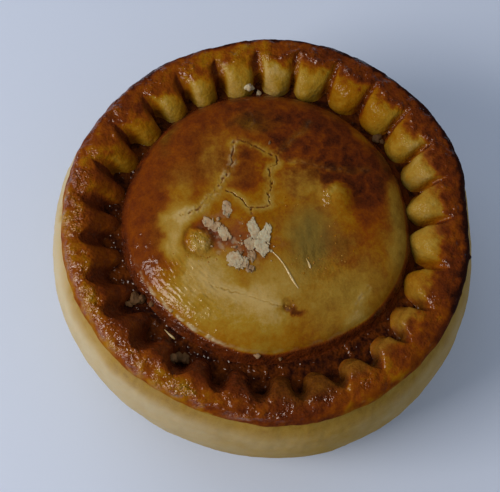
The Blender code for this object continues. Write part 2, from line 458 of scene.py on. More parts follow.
def shape_case(shape):
    """Raise the case: base, bowed wall, rim, folds and trough, with its browning and some painted shade
    painted on.
    """
    outline = case_outline(shape)
    counts = [line[2] for line in outline[:-1]]
    rows = sum(counts)
    piece, angle, row = rolled_ball("pie_case", CASE_SEGMENTS, rows)
    level_of_row = np.interp(np.arange(rows + 1), np.append(0, np.cumsum(counts)), range(len(outline)))
    level = level_of_row[row]
    groove = smooth_curve([line[0] for line in outline], level)
    ridge = smooth_curve([line[1] for line in outline], level)

    chance = np.random.default_rng(CRIMP_SEED + 1)
    count = shape.crimp_count
    fold, across = across_folds(angle, count)
    reach, height, lean, shade = (chance.uniform(-most, most, count)[fold] for most in FOLD_JITTER)
    reach += round_the_rim(angle, TIP_REACH)
    near_tip = bump(np.abs(level - TIP), 3.0)
    on_back = bump(np.abs(level - BACK), 2.4)
    leaned = across + lean * near_tip * (1.0 - 4.0 * across ** 2)
    # How far each place has risen from the pocket, at 0, to the ridge of its fold, at 1.
    squareness = np.interp(level, *SQUARENESS)
    roundness = np.interp(level, *ROUNDNESS)
    share = (1.0 - np.clip(np.abs(2.0 * leaned), 0.0, 1.0) ** squareness) ** roundness
    pocket = pocket_depth(leaned, level, round_the_rim(angle, POCKET_WIDTH))
    pressed = share * (1.0 - pocket)
    filled = round_the_rim(angle, GROOVE_FILL) * bump(np.abs(level - 6.8), 3.0)
    share = filled + (1.0 - filled) * pressed
    domed = (1.0 - 4.0 * across ** 2) * on_back * share

    # The outline read at that share, with what a hand left uneven.
    radius = groove[:, 0] + (ridge[:, 0] - groove[:, 0]) * share
    rise = groove[:, 1] + (ridge[:, 1] - groove[:, 1]) * share
    radius += reach * near_tip * (0.3 + 0.7 * share)
    radius += round_the_rim(angle, POCKET_END) * bump(np.abs(level - SHOULDER), 2.6)
    rise += height * on_back * share + 0.80 * domed
    slumped = fade(level, 8.2, 6.7) * fade(level, TROUGH, 5.2)
    rise -= round_the_rim(angle, TIP_SLUMP) * slumped * share
    scallop = 0.8 * np.abs(2.0 * across) ** 1.5
    ridge_line = bump(np.abs(level - 8.1 - scallop), 0.45) * round_the_rim(angle, CREST_RIDGE)
    notch = np.exp(-((0.5 - np.abs(across)) / 0.16) ** 2) * bump(np.abs(level - CREST), 1.3)
    rise -= 0.25 * notch

    outer = fade(level, TROUGH, CREST)
    turns = np.stack([np.cos(angle), np.sin(angle)], axis=1)
    on_rim = outer * fade(level, BULGE, NECK)
    radius += round_the_rim(angle, RIM_SWELL) * fade(level, SHOULDER - 1.0, BAND) * fade(level, FOOT, NECK)
    rise += on_rim * (0.5 * np.sin(2 * angle + 0.6) + 0.3 * np.sin(5 * angle))
    ring = np.column_stack([turns * 50.0, level * 1.3])
    radius += round_the_rim(angle, WALL_SWELL) * fade(level, EDGE, BULGE) * fade(level, 23.0, FOOT)
    edge_wear = bump(np.abs(level - EDGE), 2.2)
    radius += edge_wear * 0.35 * lumps(ring, 7.0, 3, 1.0)

    places = np.column_stack([radius[:, None] * turns, rise])
    places[radius < 1e-6, :2] = 0.0
    places[:, :2] += np.outer(fade(level, NECK - 0.5, BULGE), WALL_SHIFT)
    move_vertices(piece, places * MM)

    # Lumpy dough all over, crusty glaze on the band, drag lines low on the wall.
    band = fade(level, SHOULDER - 0.6, CREST) * fade(level, EDGE - 0.2, EDGE - 1.4)
    band *= round_the_rim(angle, BAND_CRUST)
    wall = fade(level, EDGE, NECK + 0.5) * fade(level, 22.5, FOOT)
    swell, knobs, grain, clumps, blotch, streak, speck = (lumps(places, *kind) for kind in CASE_LUMPS)
    clumps = fade(clumps, -0.25, 0.45)
    drag = lumps(places * (0.12, 0.12, 1.6), 1.0, 2, 5.0)
    out = swell * (0.30 * wall + 0.16 * outer * (1.0 - wall))
    out += knobs * (0.32 * band + 0.10 * on_rim + 0.08 * wall)
    out += grain * (0.05 * wall + 0.06 * on_rim + 0.26 * band * clumps)
    out += ridge_line * (0.38 + 0.35 * knobs)
    out += drag * 0.06 * wall * fade(rise, 26.0, 8.0)
    degrees = np.degrees(angle)
    for towards, up, size in FOOT_LUMPS:
        gap = np.hypot((degrees - towards) * math.radians(1.0) * radius, rise - up)
        out += size * 0.7 * bump(gap, size)
    out *= fade(level, 22.5, 20.0)
    push_out(piece, out)

    # Browning: dark glaze on the rim, each fold paler on its back, nearly raw dough on the wall. On the
    # left, the folds' backs are darker also with painted shade, where they face away from the lamp.
    rim_bake = round_the_rim(angle, RIM_BAKE) + 0.18 * blotch + 0.12 * streak - 0.10 * knobs
    rim_bake += 0.06 * speck
    rim_bake = np.minimum(rim_bake, 0.80 + 0.12 * streak)
    # The outer edge of the band made darker, most on the side away from the lamp.
    rim_bake += 0.50 * fade(level + 0.3 * streak, 9.6, 10.4) * round_the_rim(angle, OUTER_EDGE_DARKER)
    back_bake_and_shade = round_the_rim(angle, FOLD_BAKE_AND_SHADE) + 0.09 * blotch + 0.06 * streak + 0.05 * shade
    back_bake_and_shade += 0.03 * speck
    pale = fade(back_bake_and_shade, 0.40, 0.20)
    # Each fold is darker towards one side, and its caramel edge shifts with it. Round 23 degrees this is
    # the folds' own tawny browning; round 129 degrees it is painted shade and light, paler on the side of
    # each fold that faces the lamp.
    fold_side_tone_and_shade = facing(angle, *TAWNY_SIDE) - 4.2 * facing(angle, *LAMP_SHADED_FOLDS_SIDE)
    sunken = level - round_the_rim(angle, CREST_RIDGE) * (scallop - 0.3)
    caramel_and_shade = fade(sunken + 2.2 * across * np.clip(fold_side_tone_and_shade, -1.0, 1.0) + 0.8 * blotch, 7.2, 8.2)
    back_bake_and_shade = back_bake_and_shade + 0.16 * across * fold_side_tone_and_shade
    back_bake_and_shade = back_bake_and_shade + pale * 0.32 * caramel_and_shade
    groove_bake_and_shade = np.clip(back_bake_and_shade + 0.26, 0.55, 0.86)
    in_groove = fade(pressed, 0.70, 0.15)
    fold_bake_and_shade = back_bake_and_shade + (groove_bake_and_shade - back_bake_and_shade) * in_groove
    to_rim = fade(sunken + 0.5 * streak - 0.9 * fade(back_bake_and_shade, 0.6, 0.85), 7.2, 8.5)
    bake_and_shade = fold_bake_and_shade + (rim_bake - fold_bake_and_shade) * to_rim * (1.0 - 0.8 * pocket)
    bake_and_shade = bake_and_shade + (0.80 - bake_and_shade) * fade(level, TROUGH + 1.2, TROUGH + 0.2)
    wall_bake = 0.24 + 0.08 * swell + 0.08 * drag + 0.10 * speck + 0.06 * streak
    wall_bake += 0.14 * fade(rise, 8.0, 1.0)
    near = fade(np.sin(angle), 0.2, -0.6)
    wall_bake += near * (0.06 + 0.12 * fade(rise + 2.0 * blotch, 36.0, 42.0))
    ragged = level + 0.80 * lumps(ring, 3.5, 4, 8.0)
    on_wall = fade(ragged, EDGE - 0.1, EDGE + 0.45)
    bake_and_shade = bake_and_shade + (wall_bake - bake_and_shade) * on_wall
    paint(piece, "bake_and_shade", bake_and_shade)
    greenish = 0.55 * facing(angle, *GREEN_SIDE) * (1.0 - to_rim)
    greenish *= fade(level, TROUGH, 6.0)
    paint(piece, "olive", np.maximum(0.8 * on_wall, greenish))
    far = facing(angle, *BARE_EDGE_SIDE)
    glazed = fade(ragged, EDGE - 0.5 - 1.2 * far, EDGE - 1.7 - 0.8 * far)
    glassy = in_groove * round_the_rim(angle, CREST_RIDGE)
    sheen = np.maximum(to_rim * (0.45 + 0.55 * clumps), np.maximum(glassy, ridge_line))
    paint(piece, "gloss", glazed * (0.10 + 0.30 * fade(back_bake_and_shade, 0.3, 0.6) + 0.80 * sheen))
    rough = np.maximum(0.8 * np.maximum(glassy, ridge_line), 0.9 * fade(level, 9.5, 10.8) * (1.0 - far))
    paint(piece, "crusty", glazed * np.maximum(0.35 + 0.65 * band * clumps, rough))
    floury = round_the_rim(angle, WALL_FLOUR) + 0.12 * blotch + 0.08 * speck
    under_rim = near * fade(rise + 1.5 * blotch, 37.0, 42.0)
    floury = fade(ragged, EDGE + 0.4, NECK + 0.5) * floury * (1.0 - 0.8 * under_rim)
    dusty = 0.03 * pale * facing(angle, *DUSTY_SIDE) * (1.0 - to_rim) * (1.0 - in_groove)
    paint(piece, "flour_and_glint", np.maximum(floury, dusty))
    return piece


# The lid -----------------------------------------------------------------------------------

LID_SEGMENTS = 580
LID_ROWS_TOP = 152
LID_ROWS_SIDE = 14
LID_FULLNESS = 2.5  # 2 would be an elliptic dome, and more is flatter on top
LID_EDGE_RISE = 3.2  # in mm above the trough's floor

# Cracks in the lid as paths in mm from its middle: (points, half width, depth, torn edge).
CRACKS = (
    (((-9.5, 21), (-9.9, 16.5), (-10.3, 13.5), (-11.2, 10.6), (-13.2, 8), (-14.3, 5.4), (-16.2, 3.8),
      (-17.3, 1.6), (-20, 0.3), (-22.9, -0.6), (-23.8, -3)), 0.2, 0.45, 1),
    (((-9.5, 21), (-6.6, 19.5), (-3.4, 18.4), (-0.6, 16.6), (1, 16.1), (1.5, 13.8), (-0.5, 12.8),
      (-0.8, 10), (0, 8), (-1.2, 5), (-0.5, 2.5), (-3, 1.7), (-5.5, 1.5), (-4.9, -1)), 0.17, 0.42, 0.3),
    (((-12, 6.2), (-10, 5.5), (-7.5, 4), (-6.5, 2), (-5.5, 1.5)), 0.17, 0.4, 0.25),
    (((1, 16.1), (4, 19.5), (6, 22), (8, 23.5), (10.2, 27.2)), 0.11, 0.17, 0.1),
    (((3, 15), (8, 14.2), (14, 13), (20, 13), (26, 14.2)), 0.1, 0.15, 0.1),
    (((-17.5, -15), (-14.5, -18.6), (-10, -20), (-7, -20.6), (-3, -22), (2, -23.5), (5, -24.1)),
      0.12, 0.2, 0.35),
    (((24, -17), (22, -20), (20, -24)), 0.2, 0.12, 0.45),
    (((-6, -18), (-1.5, -21.5), (3, -24.4)), 0.08, 0.08, 0.2),
    (((-5.4, 30), (-4.6, 26), (-5.6, 22.5)), 0.08, 0.06, 0.06),
)

# Browning round the lid's edge, and soft patches of it: (x, y, half width, half height, turn, amount).
LID_EDGE_BAKE = (
    (0, 0.14), (25, 0.18), (50, 0.2), (75, 0.21), (95, 0.2), (120, 0.25), (150, 0.24), (180, 0.32),
    (195, 0.36), (207, 0.24), (222, -0.12), (245, -0.1), (262, -0.14), (275, -0.05), (287, 0.1),
    (300, 0.06), (320, 0.06), (340, 0.08),
)
LID_SWELL = (
    (0, -0.6), (20, -0.2), (60, 0), (120, 0.3), (160, 1), (190, 1.3), (210, 0.5), (225, 0), (262, -0.3),
    (282, -1.4), (300, -1.2), (316, -0.2), (345, 0),
)
# Where along the lid's edge a pale rough line runs: partly flaky crust, partly painted highlight on the
# side towards the lamp.
LID_PALE_EDGE_AND_GLINT = (
    (0, 0), (40, 0), (150, 0), (196, 0), (210, 0.7), (225, 1), (245, 0.9), (254, 0.3), (270, 0.1),
    (300, 0.1), (320, 0),
)
BROWNING = (
    (-15, -15, 14, 9, -38, -0.34), (0, -23, 11, 6, 5, -0.28), (-24.5, -3.5, 4, 8, -5, -0.38),
    (3, -14, 8, 5, 0, -0.08), (-8.5, -8, 8.5, 6.5, -20, 0.28), (13, 18, 15, 9, -16, 0.56),
    (8, 11, 6, 4, 0, 0.1), (-7, 8, 4.5, 3.5, 0, 0.22), (-8, -16.5, 5, 3, -20, 0.16),
    (-24, 24, 5, 5, 0, 0.1), (22.5, -24.5, 5, 4.5, 30, -0.34), (-17, 15, 5, 6, 30, 0.12),
    (-30, -9, 3, 8, 15, 0.14), (25, 13, 7, 8.5, 8, 0.3), (-8, 15, 5.5, 6, 8, 0.34),
    (25.5, 24.5, 6, 5.5, 0, -0.25), (19, 15, 9, 5, -10, 0.2), (-7, 24, 4, 3, 0, 0.14),
    (-16.5, -8.5, 5.5, 5, 0, -0.16), (2, 26, 14, 5, 0, 0.22), (2, 19, 9, 4, 0, 0.16),
    (-25, -24, 5, 4, -45, 0.16), (15.5, 6.5, 5, 3.8, 0, -0.24), (-24.5, 8.5, 4, 5, 0, -0.12),
    (17, -9, 5, 4.5, 0, 0.07), (23, 3, 4, 7, 0, 0.26), (18, -8, 8, 5, 0, 0.16),
    (4.2, -22.8, 3.6, 2, -25, 0.75), (-19, 9, 5, 6, 30, 0.18), (3, 9, 8, 5, 0, 0.08),
    (-15, -9.5, 4, 3.5, 0, 0.06), (20.5, 8, 3, 4.5, 10, 0.3), (-3, -31, 12, 2.6, 0, 0.06),
    (-30, 12, 4, 14, 20, 0.1), (32, -2, 4, 12, 6, -0.1), (31.5, 9, 3.5, 4.5, 0, -0.18),
    (-8, 32, 7, 3.5, 0, 0.08),
)
OLIVE = (
    (9, -6, 7, 9, -10, 1), (18, -20, 14, 8, 35, 0.8), (33, -3, 5, 17, 0, 0.8), (-14, 14, 8, 9, 0, 0.45),
    (-5.5, 25.5, 6, 4, 0, 0.8), (8, 8.5, 7, 4.5, 0, 0.55), (-23, 9, 4, 6, 0, 0.4), (17, -8, 5, 5, 0, 0.6),
    (3, -18, 10, 8, 0, 0.7), (-26.5, 21, 3, 4, -45, 0.7), (-25, -4, 4, 8, 0, 0.6),
    (-16, -14, 10, 6, -40, 0.35),
)
# Single marks in mm: (x, y, radius, height) of two bumps and (x, y, radius) of a burst.
BLISTER = (-17.8, -7.0, 3.3, 0.95)
SOFT_BUMP = (16.6, 5.4, 6.0, 1.7)
BURST = (3.8, -23.2, 2.2)
# Wrinkles on one side of the soft bump: the radius and the half width of their ring.
WRINKLES = (3.2, 1.8)
# Soft ovals: (x, y, half width, half height, turn).
THIN_SPOT = (9.6, -6.0, 6.0, 9.5, -8.0)
DARKEST = (20.0, 14.0, 10.0, 7.0, -10.0)
SKINNED = (-9.5, -7.5, 8.5, 6.0, -15.0)
BRUSHED = (-19.0, -19.0, 15.0, 8.0, -45.0)
FOAMED = (12.0, -12.0, 9.0, 6.0, 0.0)
CRAZED = (8.0, 16.0, 24.0, 14.0, -20.0)
# The side of the lid's edge that glints, as facing() takes it.
GLINTING_SIDE = (3.75, 0.75, 0.97)
# Noise on the lid: grit, flakes, grain, mottle, specks, islands, and two pairs that bend paths and
# patches. Each is width in mm, octaves and seed.
LID_LUMPS = (
    (0.8, 2, 14), (2.4, 2, 14.5), (1.3, 3, 16), (2.4, 3, 18), (0.9, 2, 18.5), (5, 3, 17), (2.2, 3, 12),
    (2.2, 3, 13), (6, 4, 19), (6, 4, 20),
)


def away_from(flat, x, y):
    """How far each flat point is from the point (x, y)."""
    return np.hypot(flat[:, 0] - x, flat[:, 1] - y)


def patch(flat, x, y, half_width, half_height, turn):
    """1 in the middle of a soft turned oval and 0 outside it."""
    turn = math.radians(turn)
    dx, dy = flat[:, 0] - x, flat[:, 1] - y
    u = (dx * math.cos(turn) + dy * math.sin(turn)) / half_width
    v = (-dx * math.sin(turn) + dy * math.cos(turn)) / half_height
    return np.exp(-1.4 * (u * u + v * v) ** 1.3)


def lid_rows(shape):
    """Radius and height in mm of each row of the lid, from its top round its edge to its underside."""
    lid = shape.lid_radius / MM
    top = shape.lid_height / MM
    floor = shape.floor_height / MM
    edge = floor + LID_EDGE_RISE
    angle = np.linspace(0.0, 0.47 * math.pi, LID_ROWS_TOP + 1)
    across = (angle / angle[-1]) ** 0.9 * 0.99
    bulge = (1 - across ** LID_FULLNESS) ** (1 / LID_FULLNESS)
    dome = np.column_stack([lid * across, edge + (top - edge) * bulge])
    last = dome[-1]
    side = smooth_curve(
        [last, (lid + 0.7, last[1] - 1.1), (lid + 1.9, floor + 1.4), (lid + 3.4, floor - 0.4),
         (0.6 * lid, floor - 1.0), (0.0, floor - 1.0)],
        np.interp(np.arange(1, LID_ROWS_SIDE + 1), [0, 4, 8, 11, 13, 14], range(6)))
    return np.vstack([dome, side])


def shape_lid(shape):
    """Dome the lid, crack it, raise its blisters and paint its browning, with painted shade towards its top
    and a painted highlight along part of its edge.
    """
    rows = lid_rows(shape)
    piece, angle, row = rolled_ball("pie_lid", LID_SEGMENTS, len(rows) - 1)
    radius, rise = rows[row, 0], rows[row, 1]
    turns = np.stack([np.cos(angle), np.sin(angle)], axis=1)
    lid = shape.lid_radius / MM
    on_top = fade(row, LID_ROWS_TOP + 3.0, LID_ROWS_TOP - 2.0)
    outer = fade(radius, 0.5 * lid, lid)
    shown = fade(row, LID_ROWS_TOP + 10.5, LID_ROWS_TOP + 7.0)
    radius = radius + outer * shown * (round_the_rim(angle, LID_SWELL) + 0.15 * np.cos(5 * angle + 1.0))
    flat = radius[:, None] * turns
    flat[radius < 1e-6] = 0.0
    places = np.column_stack([flat, rise])

    swell = lumps(places, 14.0, 2, 11.0)
    rise = rise + shown * (0.55 * swell + 0.5 * np.cos(3 * angle + 0.4) * outer)
    thin = patch(flat, *THIN_SPOT)
    streaks = lumps(np.column_stack([flat[:, 0], 0.22 * flat[:, 1], 0.0 * radius]), 1.5, 2, 22.0)
    rise += thin * (0.12 * streaks - 0.5)
    bump_x, bump_y, size, tall = SOFT_BUMP
    to_bump = away_from(flat, bump_x, bump_y)
    rise += tall * bump(to_bump, size)
    x, y, size, tall = BLISTER
    ragged = np.column_stack([lumps(places, 3.0, 2, 23.0), lumps(places, 3.0, 2, 24.0)])
    to_blister = np.hypot(flat[:, 0] - x + 0.5 * ragged[:, 0], flat[:, 1] - y + 0.5 * ragged[:, 1])
    rise += (tall + 0.25 * ragged[:, 0]) * np.clip(1.0 - (to_blister / size) ** 2, 0.0, 1.0) ** 0.9
    rise -= 0.35 * bump(np.abs(to_blister - size - 0.4), 1.0)
    places[:, 2] = rise
    move_vertices(piece, places * MM)

    grit, flaky, grain, mottle, speck, islands, *shifts = (lumps(places, *kind) for kind in LID_LUMPS)
    wander = np.column_stack(shifts[:2])
    warp = np.column_stack(shifts[2:])
    out = np.zeros(len(places))
    dark_line = np.zeros(len(places))
    torn = np.zeros(len(places))
    beside = np.zeros(len(places))
    for path, half_width, depth, ragged in CRACKS:
        gap, along = path_distance(flat + 0.6 * wander, path)
        ends = fade(along, 0.0, 0.06) * fade(along, 1.0, 0.94)
        width = 0.75 * half_width * (1.0 + 0.9 * grit)
        broken = fade(flaky + grit, 0.5 * ragged - 0.9, 0.5 * ragged - 0.1)
        line = fade(gap, 2.0 * width + 0.04, 0.6 * width) * ends * broken
        lip = bump(gap, 0.5 + 0.9 * ragged) * ends
        out += 0.16 * lip * ragged * (0.6 + 1.8 * grit) + 0.04 * lip - depth * line
        dark_line = np.maximum(dark_line, line * fade(depth, 0.04, 0.35))
        torn = np.maximum(torn, lip * ragged * fade(flaky + 0.9 * grit, -0.2, 0.4))
        beside = np.maximum(beside, bump(gap, 1.8 + 1.2 * ragged) * ends * min(1.0, 4.5 * depth))
    x, y, size = BURST
    burst = bump(away_from(flat, x, y) + 0.9 * lumps(places, 1.5, 2, 15.0), size)
    out -= 0.5 * burst * on_top
    out += on_top * (0.035 * grain + 0.02 * grit)
    brushed = patch(flat, *BRUSHED)
    strokes = lumps(np.column_stack([radius, 7.0 * angle, 0.0 * radius]), 0.75, 2, 21.0)
    out += on_top * 0.16 * brushed * strokes
    # A pale rough line along the lid's edge towards the lamp: partly flaky crust, partly a painted
    # highlight.
    at_edge = bump(np.abs(row - LID_ROWS_TOP + 0.5 + 1.5 * wander[:, 0]), 2.2)
    rough_pale_edge_and_glint = at_edge * round_the_rim(angle, LID_PALE_EDGE_AND_GLINT) * fade(flaky + 0.6 * grit, -0.3, 0.3)
    out += 0.18 * rough_pale_edge_and_glint * (1.0 + grit)
    ring, reach = WRINKLES
    wrinkled = bump(np.abs(to_bump - ring + 0.8 * wander[:, 1]), reach)
    wrinkled *= fade((bump_x - flat[:, 0]) / np.maximum(to_bump, 0.1), 0.2, 0.9)
    out += 0.35 * wrinkled * (0.5 + grit)
    out += bump(to_blister, 4.0) * (0.10 * grit + 0.12 * flaky)
    out *= shown
    push_out(piece, out)

    islands = fade(islands, -0.08, 0.18)
    # Darker towards the top of the lid: partly its own browning, partly painted shade away from the lamp at
    # the lower left.
    top_browning_and_shade = fade(flat[:, 1], -14.0, 6.0)
    bake_and_shade = 0.42 + 0.05 * top_browning_and_shade + 0.06 * islands + 0.06 * mottle + 0.03 * speck
    warped = flat + 2.6 * warp
    from_middle = np.hypot(*warped.T)
    bake_and_shade += round_the_rim(angle, LID_EDGE_BAKE) * fade(from_middle, 0.62 * lid, 0.86 * lid)
    for *oval, amount in BROWNING:
        bake_and_shade += amount * patch(warped, *oval)
    bake_and_shade += 0.30 * bump(np.abs(to_blister - BLISTER[2] - 0.5), 2.4) + 0.06 * bump(to_blister, 3.0)
    bake_and_shade -= 0.23 * beside * (1.0 + 0.5 * flaky)
    skinned = patch(warped, *SKINNED)
    deepest = 0.75 + 0.11 * fade(flat[:, 0], -26.0, -8.0) + 0.03 * patch(warped, *DARKEST)
    bake_and_shade = np.minimum(bake_and_shade, deepest + 0.08 * mottle)
    skirt = fade(row, LID_ROWS_TOP, LID_ROWS_TOP + 3.0)
    bake_and_shade = bake_and_shade + (0.85 + 0.12 * mottle - bake_and_shade) * skirt
    bake_and_shade = bake_and_shade + (0.95 - bake_and_shade) * 0.70 * dark_line
    olive = 0.5 * beside
    for *oval, amount in OLIVE:
        olive = np.maximum(olive, amount * patch(warped, *oval))
    paint(piece, "bake_and_shade", bake_and_shade)
    paint(piece, "olive", olive * (1.0 - skirt))
    glinting = fade(from_middle, 22.0, 29.0) * facing(angle, *GLINTING_SIDE)
    glinting *= fade(flaky, -0.3, 0.6)
    bubbly = np.maximum.reduce(
        [patch(flat, *FOAMED), bump(to_blister, 5.5), wrinkled, glinting, 0.25 * brushed])
    dull = np.maximum(0.8 * torn, 0.9 * dark_line)
    paint(piece, "gloss", (0.35 + 0.4 * np.maximum(bubbly, 0.6 * brushed) + 0.4 * skirt) * (1.0 - dull))
    sandy = 0.35 * bump(to_blister, 6.0)
    near_skirt = skirt * fade(np.sin(angle), 0.1, -0.7)
    paint(piece, "crusty", 0.06 + 0.5 * near_skirt + 0.30 * bubbly + sandy)
    dusted = skinned * (0.04 + 0.30 * fade(mottle, 0.1, 0.5))
    torn_dough = 0.40 * torn * (1.0 - dark_line)
    # Flour on torn dough and the skinned patch, and the pale edge line, which is partly a painted
    # highlight.
    paint(piece, "flour_and_glint", np.maximum.reduce([torn_dough, 0.80 * rough_pale_edge_and_glint, dusted]))
    paint(piece, "thin", thin * (0.78 + 0.26 * streaks))
    paint(piece, "plates", on_top * (0.25 + 0.75 * patch(flat, *CRAZED)))
    return piece


# What lies on the pie ----------------------------------------------------------------------

# Broken pastry on the lid: thickness and lift in mm, how toasted, and the outline's corners in mm.
FLAKES = (
    (0.5, 0.3, 0.15, ((-5.7, -2.3), (-4.9, -1.8), (-4, -2.9), (-3.2, -4.6), (-3.4, -6.3), (-4.8, -6.3),
      (-5.9, -4.8), (-6.1, -3.5))),
    (0.5, 0.45, 0, ((-1.6, -2.8), (-0.7, -3.5), (-0.8, -5.5), (-1.2, -7.5), (-2.4, -7.5), (-3.5, -6.6),
      (-2.7, -4.6), (-2, -3.8))),
    (0.55, 0.6, 0.1, ((-4.2, -7.6), (-2.3, -7), (-1.2, -8.3), (-1.3, -10.1), (-2.4, -11), (-3.4, -10))),
    (0.55, 0.35, 0.4, ((-6.6, -7.2), (-5.3, -6.6), (-4.4, -7.4), (-4.4, -9.1), (-5.5, -9.9),
      (-6.6, -8.9))),
    (0.35, 0.15, 0.75, ((-6, -10.3), (-4.7, -9.9), (-4.2, -11.1), (-5.1, -12.2), (-5.9, -11.6))),
    (0.55, 0.4, 0.32, ((-11.1, -11.4), (-10, -10.2), (-8.5, -10.4), (-7.6, -11.6), (-7.4, -13),
      (-9, -14.1), (-10.4, -13.4))),
    (0.45, 0.3, 0.45, ((-8.2, -11.4), (-6.5, -12.2), (-6.2, -13.6), (-7.6, -14), (-8.8, -13.2))),
    (0.4, 0.15, 0.8, ((-6.2, -14), (-5.5, -13.4), (-4.6, -14.2), (-5.3, -14.9), (-6.2, -14.7))),
    (0.45, 0.25, 0.55, ((-17.2, -2.4), (-16.2, -1.3), (-14.7, -2.3), (-12.7, -3.2), (-12.2, -4.6),
      (-13.8, -4.5), (-15.5, -3.7))),
    (0.5, 0.35, 0.42, ((-13.3, -4.2), (-12.2, -3.5), (-11.1, -4.5), (-10.9, -6.2), (-11.7, -7.3),
      (-12.5, -6.2))),
    (0.35, 0.12, 0.55, ((-12.2, 2.2), (-11, 3.2), (-10.3, 1.4), (-10.5, -0.3), (-11.2, -0.9),
      (-11.9, 0.2))),
)
# Crumbs as (x, y, half size, how toasted): browned ones in the trough, pale ones on the lid and folds.
CRUMBS = (
    (-33.4, -20.4, 1.7, 1.6), (-31.8, -20.2, 1.3, 1.5), (-34.6, -21.4, 1, 1.8), (-29.2, -21.7, 0.8, 1.3),
    (-22.4, -34.8, 1.4, 1.7), (-21, -35.4, 1.3, 1.5), (-23.8, -36, 1.3, 1.8), (28.3, 25.6, 1.1, 1.9),
    (29.5, 24.8, 0.8, 1.9), (-5.6, 37.4, 0.9, 0.1), (-4.6, 37.9, 0.7, 0.2), (-2.6, 37.6, 0.8, 0.1),
    (-3.4, -34.6, 0.8, 0.9), (2.4, -34.8, 0.5, 1.1), (-0.6, 19.6, 0.4, 1), (-9.2, -8.9, 0.4, 0.8),
    (-7.7, -10.4, 0.45, 0.9), (-7.5, -8, 0.4, 0.6), (-13.5, -1.6, 0.5, 0.5), (-10.4, -6.4, 0.5, 0.5),
    (-0.3, -9.7, 0.3, 0.2), (-14.9, -8.6, 0.35, 0.8), (-8, -6, 0.3, 0.8), (-24.5, -24, 0.5, 0.4),
)
FLAKE_DETAIL = 5
# Splinters under each flake: how many, and the ranges of their half sizes, lift, turn and tilt.
SPLINTERS = 8
SPLINTER_SEED = 17
SPLINTER_LENGTH = (0.3, 0.8)
SPLINTER_WIDTH = (0.12, 0.3)
SPLINTER_THICKNESS = 0.05
SPLINTER_LIFT = (0.1, 0.4)
SPLINTER_TURN = (0.9, 2.6)
SPLINTER_TILT = (-0.35, 0.35)
# Fine crumbs scattered among the flakes: how many, and where in mm.
SCATTERED = 36
SCATTER_MIDDLE = (-6.5, -8.0)
SCATTER_SPREAD = (3.0, 3.4)
CRUMB_SEED = 23
# The smallest and largest half size in mm of a fine crumb or a bubble, and a whole turn.
FINE = (0.10, 0.24)
ANY_TURN = (0.0, 6.28)
# Little bubbles in the glaze, in groups: (x, y, spread in x, spread in y, how many).
BUBBLES = (
    (11.5, -12.5, 3.2, 2, 22), (15, -6, 2.4, 2.4, 10), (-18, -7.5, 1.4, 1.3, 12),
    (-17, -11.5, 2.6, 1.2, 9), (14, 4.4, 0.9, 0.9, 12), (2.5, 2.4, 3, 0.6, 10), (3.6, -23.2, 1.2, 0.8, 8),
    (-10, -11, 2.6, 2.2, 16),
)
BUBBLE_SEED = 31
# Threads of glaze as paths in mm. The first is a raised thread on the lid, pale partly as a painted
# highlight; the second, on the jelly, and the third, on the lid, are pale streaks that are painted
# highlights.
THREADS_AND_GLINT_STREAKS = (
    ((-1, -9), (0.9, -10.6), (2.9, -12.9), (3.9, -15.1), (5, -17.3), (6.3, -18.9)),
    ((-25.9, -27.7), (-25.4, -28.2), (-24.9, -28.7), (-24.3, -29.3), (-23.8, -29.7), (-23.3, -30.1)),
    ((8.3, -11.2), (8.7, -11.9), (8.9, -12.4), (9.1, -12.9), (9.2, -13.3), (9.3, -13.7)),
)
# How thick a thread is in mm, and how that varies along it.
THREAD_RADIUS = 0.17
THREAD_RADII = (0.6, 0.8, 1.0, 1.7, 2.0, 0.6)


def surface_below(x, y):
    """The height in mm of the pastry under a point (x, y) in mm, looking down on the lid and the case."""
    highest = 0.0
    for name in ("pie_lid", "pie_case", "trough_jelly"):
        if name not in bpy.data.objects:
            continue
        above = Vector((x * MM, y * MM, HIGH_ABOVE))
        found, place, _, _ = bpy.data.objects[name].ray_cast(above, Vector((0.0, 0.0, -1.0)))
        if found:
            highest = max(highest, place.z / MM)
    return highest


def joined(pieces, name):
    """Join the pieces into one with this name."""
    deselect_all()
    for piece in pieces:
        piece.select_set(True)
    bpy.context.view_layer.objects.active = pieces[0]
    bpy.ops.object.join()
    return named(bpy.context.object, name)


def new_ball(detail):
    """A ball one unit in radius, and its vertices as an array."""
    deselect_all()
    bpy.ops.mesh.primitive_ico_sphere_add(subdivisions=detail, radius=1.0, calc_uvs=False)
    return bpy.context.object, vertices_of(bpy.context.object)


def pebble(place, half_sizes, turn, roughness, detail, seed):
    """A rough lump of pastry: a ball stretched to its half sizes in mm, turned, and made ragged."""
    piece, ball = new_ball(detail)
    outline = np.column_stack([ball[:, :2], np.zeros(len(ball))])
    ragged = lumps(ball, 1.3, 3, seed) + lumps(outline, 0.8, 2, seed + 0.5)
    ball[:, :2] *= (1.0 + roughness * ragged)[:, None]
    ball[:, 2] *= 1.0 + roughness * lumps(ball, 1.1, 3, seed + 0.7)
    ball *= half_sizes
    cos, sin = math.cos(turn), math.sin(turn)
    turned = np.column_stack(
        [ball[:, 0] * cos - ball[:, 1] * sin, ball[:, 0] * sin + ball[:, 1] * cos, ball[:, 2]])
    move_vertices(piece, (turned + place) * MM)
    return piece


